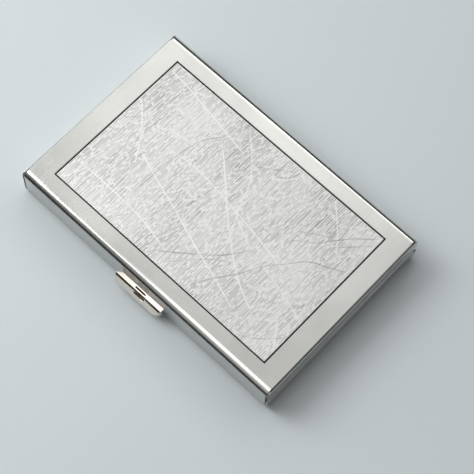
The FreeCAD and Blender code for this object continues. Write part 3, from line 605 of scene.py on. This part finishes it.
def emboss(X, Y, seed, mirror=False):
    """Height field of the embossing in mm, from about -0.05 to +0.05."""
    rng = np.random.RandomState(seed)
    Hf = np.zeros_like(X)
    # short strokes across the case, pressed in: columns of broken straight grooves and a few ridges
    xs, ys = X[:, 0], Y[0, :]
    col = np.zeros_like(X)
    rid = np.zeros_like(X)
    dens = np.zeros_like(X)
    for _ in range(9):
        kx, ky, ph = rng.uniform(-0.5, 0.5), rng.uniform(-0.35, 0.35), rng.uniform(0, 6.28)
        dens += np.sin(kx * X + ky * Y + ph) / 9
    dens = np.clip(0.86 + 0.35 * dens, 0.65, 1.1)

    def column(x, y, ln, a, wdt, lean, into):
        j = (ys > y) & (ys < y + ln)
        if not j.any():
            return
        t = (ys[j] - y) / ln
        env = np.clip(np.minimum(t, 1 - t) * ln / 0.3, 0, 1)
        xc = x + lean * (ys[j] - y)
        i0, i1 = np.searchsorted(xs, [x - 0.9, x + 0.9])
        d = xs[i0:i1, None] - xc[None, :]
        into[i0:i1, j] = np.maximum(into[i0:i1, j], a * env[None, :] * np.exp(-(d / wdt) ** 2))

    x = -PX
    while x < PX:
        x += rng.uniform(0.46, 0.68)
        y = -PY - rng.uniform(0, 3)
        while y < PY:
            ln = rng.uniform(0.7, 3.2) if rng.rand() < 0.6 else rng.uniform(3.0, 7.5)
            column(x + rng.uniform(-0.10, 0.10), y, ln, rng.uniform(0.4, 1.0), rng.uniform(0.12, 0.165), rng.uniform(-0.012, 0.012), col)
            if rng.rand() < 0.55:
                column(x + rng.uniform(0.22, 0.34), y + rng.uniform(-0.5, 0.5), ln * rng.uniform(0.4, 1.0), rng.uniform(0.3, 0.9), 0.14,
                       rng.uniform(-0.012, 0.012), rid)
            y += ln + rng.uniform(0.15, 1.1)
    Hf += dens * (-0.040 * col + 0.030 * rid)
    # long creases press the strokes flat beside them
    for sign, wdt, pts in CREASES:
        q = smooth_path(pts)
        if mirror:
            q = q * (-1, -1)
        best = np.full(X.shape, 9.0)
        tt = np.zeros(X.shape)
        L = len(q) - 1
        for k in range(L):
            a, b = q[k], q[k + 1]
            lo, hi = np.minimum(a, b) - 0.8, np.maximum(a, b) + 0.8
            i0, i1 = np.searchsorted(xs, [lo[0], hi[0]])
            j0, j1 = np.searchsorted(ys, [lo[1], hi[1]])
            if i1 <= i0 or j1 <= j0:
                continue
            sx, sy = X[i0:i1, j0:j1], Y[i0:i1, j0:j1]
            d = b - a
            L2 = d @ d + 1e-12
            t = np.clip(((sx - a[0]) * d[0] + (sy - a[1]) * d[1]) / L2, 0, 1)
            dist = np.hypot(sx - a[0] - t * d[0], sy - a[1] - t * d[1])
            m = dist < best[i0:i1, j0:j1]
            best[i0:i1, j0:j1][m] = dist[m]
            tt[i0:i1, j0:j1][m] = (k + t[m]) / L
        taper = np.clip(np.minimum(tt, 1 - tt) / 0.08, 0.25, 1)
        wdt = wdt * (0.72 if sign > 0 else 0.68)
        # pressure varies along the line
        wob = 0.78 + 0.22 * np.sin(tt * rng.uniform(9, 16) + rng.uniform(0, 6.28))
        prof = np.exp(-(best / wdt) ** 2) * taper * abs(sign) * wob
        flat = np.exp(-(best / (wdt * 1.45)) ** 2) * taper
        if sign > 0:
            Hf = Hf * (1 - 0.8 * flat) + 0.046 * prof
        else:
            Hf = Hf * (1 - 0.7 * flat) - 0.036 * prof
    # a slow unevenness of the sheet
    for _ in range(6):
        kx, ky, ph = rng.uniform(-0.25, 0.25), rng.uniform(-0.25, 0.25), rng.uniform(0, 6.28)
        Hf += 0.0012 * np.sin(kx * X + ky * Y + ph)
    # flat rolled margin
    edge = np.minimum(PX - np.abs(X), PY - np.abs(Y))
    return Hf * np.clip(edge / 0.35, 0, 1)


def panel(name, node, body, up, dx, dy, seed):
    lo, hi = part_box(node)
    z_face = (hi[2] if up else lo[2]) / MM
    z_back = (lo[2] if up else hi[2]) / MM
    nx, ny = int(round(2 * PX / dx)) + 1, int(round(2 * PY / dy)) + 1
    xs, ys = np.linspace(-PX + 0.12, PX - 0.12, nx), np.linspace(-PY + 0.12, PY - 0.12, ny)
    X, Y = np.meshgrid(xs, ys, indexing="ij")
    H = emboss(X, Y, seed, mirror=not up)
    edge = np.minimum(PX - np.abs(X), PY - np.abs(Y))
    drop = 0.07 * np.clip(1 - edge / 0.16, 0, 1) ** 2
    s = 1 if up else -1
    Z = z_face + s * (H - drop - 0.018)
    verts = np.stack([X, Y, Z], -1).reshape(-1, 3)
    idx = np.arange(nx * ny).reshape(nx, ny)
    a, b, c, d = idx[:-1, :-1].ravel(), idx[1:, :-1].ravel(), idx[1:, 1:].ravel(), idx[:-1, 1:].ravel()
    faces = np.stack([a, b, c, d], 1) if up else np.stack([d, c, b, a], 1)
    faces = faces.tolist()
    # edge walls and a plain back
    ring = list(idx[:, 0]) + list(idx[-1, 1:]) + list(idx[-2::-1, -1]) + list(idx[0, -2:0:-1])
    base_i = len(verts)
    low = verts[ring].copy()
    low[:, 2] = z_back
    verts = np.vstack([verts, low])
    n = len(ring)
    for k in range(n):
        p, q = ring[k], ring[(k + 1) % n]
        u, v = base_i + k, base_i + (k + 1) % n
        faces.append([q, p, u, v] if up else [p, q, v, u])
    faces.append([base_i + k for k in (range(n - 1, -1, -1) if up else range(n))])
    ob = from_pydata(name, verts, faces, M_PANEL)
    ob.data.polygons[len(ob.data.polygons) - 1].use_smooth = False
    at = ob.data.attributes.new("emboss", "FLOAT", "POINT")
    val = np.full(len(ob.data.vertices), 0.5, np.float32)
    val[:nx * ny] = np.clip(0.5 + H.ravel() / 0.09, 0, 1)
    at.data.foreach_set("value", val)
    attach(ob, body)
    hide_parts(node)
    return ob


panel("lid_panel_embossed", "lid_inlay_panel", "lid", True, 0.11, 0.15, 11)
panel("base_panel_embossed", "base_inlay_panel", "base", False, 0.2, 0.35, 23)

# ------------------------------------------------------------------ thumb piece
CLASP_Z = (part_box("clasp_rivets")[0][2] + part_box("clasp_rivets")[1][2]) / 2 / MM
T_LO, T_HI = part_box("thumb_piece")


def prism(name, outline, axis, a, b):
    """A closed prism (mm round the case's middle): outline in the plane across the axis."""
    bm = bmesh.new()
    put = {"x": lambda p, t: (t, p[0], p[1]), "z": lambda p, t: (p[0], p[1], t)}[axis]
    ends = []
    for t in (a, b):
        ends.append([bm.verts.new((Vector(put(p, t)) + Vector((0, OY, 0))) * MM) for p in outline])
    n = len(outline)
    bm.faces.new(ends[0])
    bm.faces.new(list(reversed(ends[1])))
    for k in range(n):
        bm.faces.new([ends[0][k], ends[1][k], ends[1][(k + 1) % n], ends[0][(k + 1) % n]])
    bmesh.ops.recalc_face_normals(bm, faces=bm.faces)
    me = bpy.data.meshes.new(name)
    bm.to_mesh(me)
    bm.free()
    ob = bpy.data.objects.new(name, me)
    SC.collection.objects.link(ob)
    return ob


def boolean(ob, tool, op):
    m = ob.modifiers.new("b", "BOOLEAN")
    m.object = tool
    m.operation = op
    m.solver = "EXACT"
    apply_mods(ob)
    tm = tool.data
    bpy.data.objects.remove(tool)
    bpy.data.meshes.remove(tm)


def thumb_piece():
    """A formed lip: sloping top land, sharp edge, bowed front face, hollow below, slot and dimple."""
    yb = T_HI[1] / MM - OY
    zt, zb = T_HI[2] / MM, T_LO[2] / MM
    L = (T_HI[0] - T_LO[0]) / MM
    yf = T_LO[1] / MM - OY
    Rr, yc, zc = 4.2, yb + 1.54, zt - 3.51
    out = [(yb, zb), (yb, zt - 0.02)]
    t0 = math.radians(39.7)
    out.append((yc - Rr * math.sin(t0), zc + Rr * math.cos(t0)))
    t1 = math.acos((zb - zc) / Rr)
    for k in range(1, 41):
        t = t0 + (t1 - t0) * k / 40
        out.append((yc - Rr * math.sin(t), zc + Rr * math.cos(t)))
    ob = prism("thumb_piece_formed", out, "x", -L / 2 - 0.7, L / 2)
    r, rl, fl = 2.3, 1.5, 0.6
    plan = [(L / 2, yb + 1), (-L / 2 + 1.0, yb + 1), (-L / 2 + 1.0, yb - 0.12), (-L / 2 + 0.35, yb - 0.35), (-L / 2 - 0.2, yb - 0.8)]
    for k in range(15):
        a = math.pi + math.pi / 2 * k / 14
        plan.append((-L / 2 - fl + rl + rl * math.cos(a), yf + rl + rl * math.sin(a)))
    for k in range(15):
        a = -math.pi / 2 + math.pi / 2 * k / 14
        plan.append((L / 2 - r + r * math.cos(a), yf + r + r * math.sin(a)))
    boolean(ob, prism("plan", plan, "z", zb - 1, zt + 1), "INTERSECT")
    ri = Rr - 0.55
    hol = [(yb - 0.6, zb - 1), (yb - 0.6, zt - 0.62)]
    t0 = math.acos((zt - 0.62 - zc) / ri)
    for k in range(0, 21):
        t = t0 + (math.pi / 2 - t0) * k / 20
        hol.append((yc - ri * math.sin(t), zc + ri * math.cos(t)))
    hol.append((yc - ri, zb - 1))
    boolean(ob, prism("hollow", hol, "x", -L / 2 + 1.6, L / 2 - 1.6), "DIFFERENCE")
    hw, hl = 0.27, 2.0
    ring = [(hl - hw + hw * math.cos(a), yb - 0.60 + hw * math.sin(a)) for a in (-math.pi / 2 + math.pi * k / 8 for k in range(9))]
    ring += [(-hl + hw + hw * math.cos(a), yb - 0.60 + hw * math.sin(a)) for a in (math.pi / 2 + math.pi * k / 8 for k in range(9))]
    boolean(ob, prism("slot", ring, "z", zt - 1.3, zt + 1), "DIFFERENCE")
    bm = bmesh.new()
    bmesh.ops.create_uvsphere(bm, u_segments=32, v_segments=20, radius=1.0)
    td = math.radians(55)
    M = (Matrix.Translation(Vector((0.5, yc - (Rr + 0.10) * math.sin(td) + OY, zc + (Rr + 0.10) * math.cos(td))) * MM)
         @ Matrix.Rotation(td, 4, "X") @ Matrix.Diagonal(Vector((2.2, 0.62, 0.50, 1 / MM)) * MM))
    bmesh.ops.transform(bm, matrix=M, verts=bm.verts)
    dm = bpy.data.meshes.new("dimple")
    bm.to_mesh(dm)
    bm.free()
    tool = bpy.data.objects.new("dimple", dm)
    SC.collection.objects.link(tool)
    boolean(ob, tool, "DIFFERENCE")
    ob.data.materials.clear()
    ob.data.materials.append(M_NICKEL)
    ob.data.materials.append(M_RECESS)
    for p in ob.data.polygons:
        c = p.center
        x, y, z = c[0] / MM, c[1] / MM - OY, c[2] / MM
        rad = math.hypot(y - yc, z - zc)
        inside = abs(x) < L / 2 - 1.5 and y < yb - 0.05 and rad < Rr - 0.07 and z > zb + 0.03 and z < zt - 0.45
        in_slot = abs(x) < hl + 0.01 and abs(y - (yb - 0.60)) < hw + 0.01 and z < zt - 0.2 and abs(p.normal.z) < 0.9
        p.material_index = 1 if inside or in_slot else 0
    ob.data.polygons.foreach_set("use_smooth", [True] * len(ob.data.polygons))
    finish_edges(ob, 0.11, 4, 28)
    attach(ob, "clasp")
    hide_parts("thumb_piece")
    return ob


thumb_piece()

# ------------------------------------------------------------------ catch spring: two halves that flex
def spring_half(side):
    yw, t, bow = -31.25, 0.3, 0.75
    z0, z1 = 2.1, 6.8
    xs = list(np.linspace(0, 23.6, 60))
    verts, rows = [], []
    for x in xs:
        u = min(1.0, max(0.0, (19.0 - x) / 10.5))
        s = u * u * (3 - 2 * u)
        y = yw + 0.02 + bow * s
        if x < 2.2:
            pass
        # rounded ends of the strip
        e = max(0.0, x - 22.6)
        cut = 1.6 * (1 - math.sqrt(max(0.0, 1 - min(1.0, e) ** 2)))
        a, b = z0 + cut, z1 - cut
        row = []
        for (yy, zz) in ((y, a), (y, a + (b - a) * 0.33), (y, a + (b - a) * 0.67), (y, b),
                         (y + t, b), (y + t, a + (b - a) * 0.67), (y + t, a + (b - a) * 0.33), (y + t, a)):
            row.append(len(verts))
            verts.append((side * x, yy, zz))
        rows.append(row)
    faces = []
    for i in range(len(rows) - 1):
        for j in range(8):
            faces.append([rows[i][j], rows[i + 1][j], rows[i + 1][(j + 1) % 8], rows[i][(j + 1) % 8]])
    faces.append(rows[0])
    faces.append(list(reversed(rows[-1])))
    name = "catch_spring_%s" % ("right" if side > 0 else "left")
    ob = from_pydata(name, verts, faces, M_SPRING)
    bm = bmesh.new()
    bm.from_mesh(ob.data)
    bmesh.ops.recalc_face_normals(bm, faces=bm.faces)
    bm.to_mesh(ob.data)
    bm.free()
    finish_edges(ob, 0.05, 2, 50)
    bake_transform(ob, "lid", "clasp", start=(side * 19.0 * MM, 0, 0), end=(side * 8.5 * MM, 0, 0))
    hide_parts("catch_spring")
    return ob


spring_half(-1)
spring_half(+1)


def catch_nose():
    """The pressed bead of the catch, ramped below."""
    yb, zc = -31.25 + 0.75 + 0.28, CLASP_Z
    prof = [(0.0, -0.95), (0.22, -0.72), (0.5, -0.38), (0.74, 0.0), (0.78, 0.22), (0.70, 0.45), (0.45, 0.66), (0.12, 0.80), (0.0, 0.85)]
    verts, rows = [], []
    xs = [-1.9, -1.82, -1.65, -1.4, -0.7, 0, 0.7, 1.4, 1.65, 1.82, 1.9]
    hs = [0.05, 0.45, 0.75, 0.93, 1, 1, 1, 0.93, 0.75, 0.45, 0.05]
    for x, h in zip(xs, hs):
        row = []
        for d, z in prof:
            row.append(len(verts))
            verts.append((x, yb + d * h, zc + z))
        rows.append(row)
    faces = [[rows[i][j], rows[i][j + 1], rows[i + 1][j + 1], rows[i + 1][j]] for i in range(len(rows) - 1) for j in range(len(prof) - 1)]
    faces.append(list(rows[0])); faces.append(list(reversed(rows[-1])))
    faces.append([rows[i][0] for i in range(len(rows))] + [rows[i][-1] for i in reversed(range(len(rows)))])
    ob = from_pydata("catch_spring_nose", verts, faces, M_SPRING)
    bm = bmesh.new()
    bm.from_mesh(ob.data)
    bmesh.ops.recalc_face_normals(bm, faces=bm.faces)
    bm.to_mesh(ob.data)
    bm.free()
    s = ob.modifiers.new("sub", "SUBSURF")
    s.levels = s.render_levels = 1
    apply_mods(ob)
    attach(ob, "clasp")
    return ob


catch_nose()

# ------------------------------------------------------------------ organiser
LEAVES = ["base_end_leaf", "divider_1", "divider_2", "divider_3", "divider_4", "divider_5", "lid_end_leaf"]
LEAF_BODY = ["base", "divider_1", "divider_2", "divider_3", "divider_4", "divider_5", "lid_end_leaf"]
LZ = []
for n_ in LEAVES:
    lo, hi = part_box(n_)
    LZ.append((lo[2] + hi[2]) / 2 / MM)
lo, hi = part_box("divider_1")
LX, LY0, LY1 = hi[0] / MM, lo[1] / MM - OY, hi[1] / MM - OY


def leaf(i):
    """Film leaf: rounded front corners and a thumb notch."""
    nx, ny = 121, 76
    xs, ys = np.linspace(-LX, LX, nx), np.linspace(LY0, LY1, ny)
    r_c, r_n = 3.0, 9.0
    half = 0.125
    verts, faces = [], []
    outline = []
    # outline, counter-clockwise from the rear right corner
    outline.append((LX, LY1)); outline.append((-LX, LY1))
    for k in range(9):
        a = math.pi + (math.pi / 2) * k / 8
        outline.append((-LX + r_c + r_c * math.cos(a), LY0 + r_c + r_c * math.sin(a)))
    fr = 1.2   # small radius where the notch meets the edge
    for k in range(25):
        a = math.pi - math.pi * k / 24
        outline.append((r_n * math.cos(a), LY0 + max(0.0, r_n * math.sin(a))))
    for k in range(9):
        a = -math.pi / 2 + (math.pi / 2) * k / 8
        outline.append((LX - r_c + r_c * math.cos(a), LY0 + r_c + r_c * math.sin(a)))
    bm = bmesh.new()
    vs = [bm.verts.new(((x) * MM, (y + OY) * MM, (LZ[i] - half) * MM)) for x, y in outline]
    f = bm.faces.new(vs)
    if f.normal.z < 0:
        bmesh.ops.reverse_faces(bm, faces=[f])
    f.normal_update()
    ext = bmesh.ops.extrude_face_region(bm, geom=[f])
    up = [v for v in ext["geom"] if isinstance(v, bmesh.types.BMVert)]
    bmesh.ops.translate(bm, verts=up, vec=(0, 0, 2 * half * MM))
    bmesh.ops.recalc_face_normals(bm, faces=bm.faces)
    me = bpy.data.meshes.new(LEAVES[i] + "_film")
    bm.to_mesh(me)
    bm.free()
    ob = add(LEAVES[i] + "_film", me, M_FILM)
    finish_edges(ob, 0.06, 2, 40)
    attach(ob, LEAF_BODY[i])
    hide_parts(LEAVES[i])
    return ob


for i in range(7):
    leaf(i)


def weld_bead(i):
    """The pressed weld line that runs round a leaf just inside its sides and rear edge."""
    pts = [(-LX + 1.6, LY0 + 4.0), (-LX + 1.6, LY1 - 1.6), (LX - 1.6, LY1 - 1.6), (LX - 1.6, LY0 + 4.0)]
    w, h_ = 0.45, 0.07
    verts, faces = [], []
    for s in (1, -1):
        if (i == 0 and s < 0) or (i == 6 and s > 0):
            continue
        z = LZ[i] + s * 0.125
        rows = []
        path = []
        for a, b in zip(pts, pts[1:]):
            a, b = np.array(a), np.array(b)
            n = int(np.hypot(*(b - a)) / 2) + 2
            for k in range(n):
                path.append(a + (b - a) * k / n)
        path.append(np.array(pts[-1]))
        path = np.array(path)
        tan = np.gradient(path, axis=0)
        tan /= np.linalg.norm(tan, axis=1)[:, None]
        nor = np.stack([-tan[:, 1], tan[:, 0]], 1)
        for p, q in zip(path, nor):
            row = []
            for u, hh in ((-1, -0.03), (-0.75, 0.5), (0, 1.0), (0.75, 0.5), (1, -0.03)):
                c = p + q * u * w / 2
                row.append(len(verts))
                verts.append((c[0], c[1], z + s * hh * h_))
            rows.append(row)
        for r0, r1 in zip(rows, rows[1:]):
            for j in range(4):
                faces.append([r0[j], r0[j + 1], r1[j + 1], r1[j]])
            faces.append([r0[4], r0[0], r1[0], r1[4]])
        faces.append(list(rows[0]))
        faces.append(list(rows[-1]))
    ob = from_pydata(LEAVES[i] + "_weld", verts, faces, M_FILM)
    bm = bmesh.new()
    bm.from_mesh(ob.data)
    bmesh.ops.recalc_face_normals(bm, faces=bm.faces)
    bm.to_mesh(ob.data)
    bm.free()
    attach(ob, LEAF_BODY[i])


for i in range(7):
    weld_bead(i)


def pleat(name, k, section, y_or_x, replaced):
    """One fold of film between leaf k and leaf k+1; section() maps (out, z) to a point for a place along the fold."""
    z0, z1 = LZ[k], LZ[k + 1]
    t = 0.13
    n = 9
    line = []
    for j in range(2 * n + 1):
        u = j / (2 * n)
        out = 1 - abs(2 * u - 1)
        out = out - 0.05 * math.exp(-((u - 0.5) / 0.06) ** 2)   # soft fold
        line.append((out, z0 + (z1 - z0) * u))
    verts, rows = [], []
    stations = np.linspace(y_or_x[0], y_or_x[1], 28)
    for st in stations:
        row = []
        for side in (0, 1):
            seq = line if side == 0 else list(reversed(line))
            for (o, z) in seq:
                row.append(len(verts))
                verts.append(section(o, z, st, side * t))
        rows.append(row)
    m = len(rows[0])
    faces = []
    for r0, r1 in zip(rows, rows[1:]):
        for j in range(m):
            faces.append([r0[j], r0[(j + 1) % m], r1[(j + 1) % m], r1[j]])
    for r in (rows[0], rows[-1]):
        h = m // 2
        for j in range(h - 1):
            faces.append([r[j], r[j + 1], r[m - 2 - j], r[m - 1 - j]])
    ob = from_pydata(name, verts, faces, M_FILM)
    bm = bmesh.new()
    bm.from_mesh(ob.data)
    bmesh.ops.remove_doubles(bm, verts=bm.verts, dist=1e-9)
    bmesh.ops.recalc_face_normals(bm, faces=bm.faces)
    bm.to_mesh(ob.data)
    bm.free()
    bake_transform(ob, LEAF_BODY[k], LEAF_BODY[k + 1], start=(0, 0, z0 * MM), end=(0, 0, z1 * MM))
    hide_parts(replaced)
    return ob


for k in range(6):
    for side, nm in ((-1, "left"), (1, "right")):
        pleat("gusset_%s_%d" % (nm, k + 1), k,
              lambda o, z, st, t, s=side: (s * (LX + 0.02 + 1.85 * o + t), st, z), (LY0 + 1.5, LY1 - 0.3), "gusset_" + nm)
    pleat("spine_%d" % (k + 1), k,
          lambda o, z, st, t: (st, LY1 + 0.02 + 1.4 * o + t, z), (-LX + 0.5, LX - 0.5), "organiser_spine")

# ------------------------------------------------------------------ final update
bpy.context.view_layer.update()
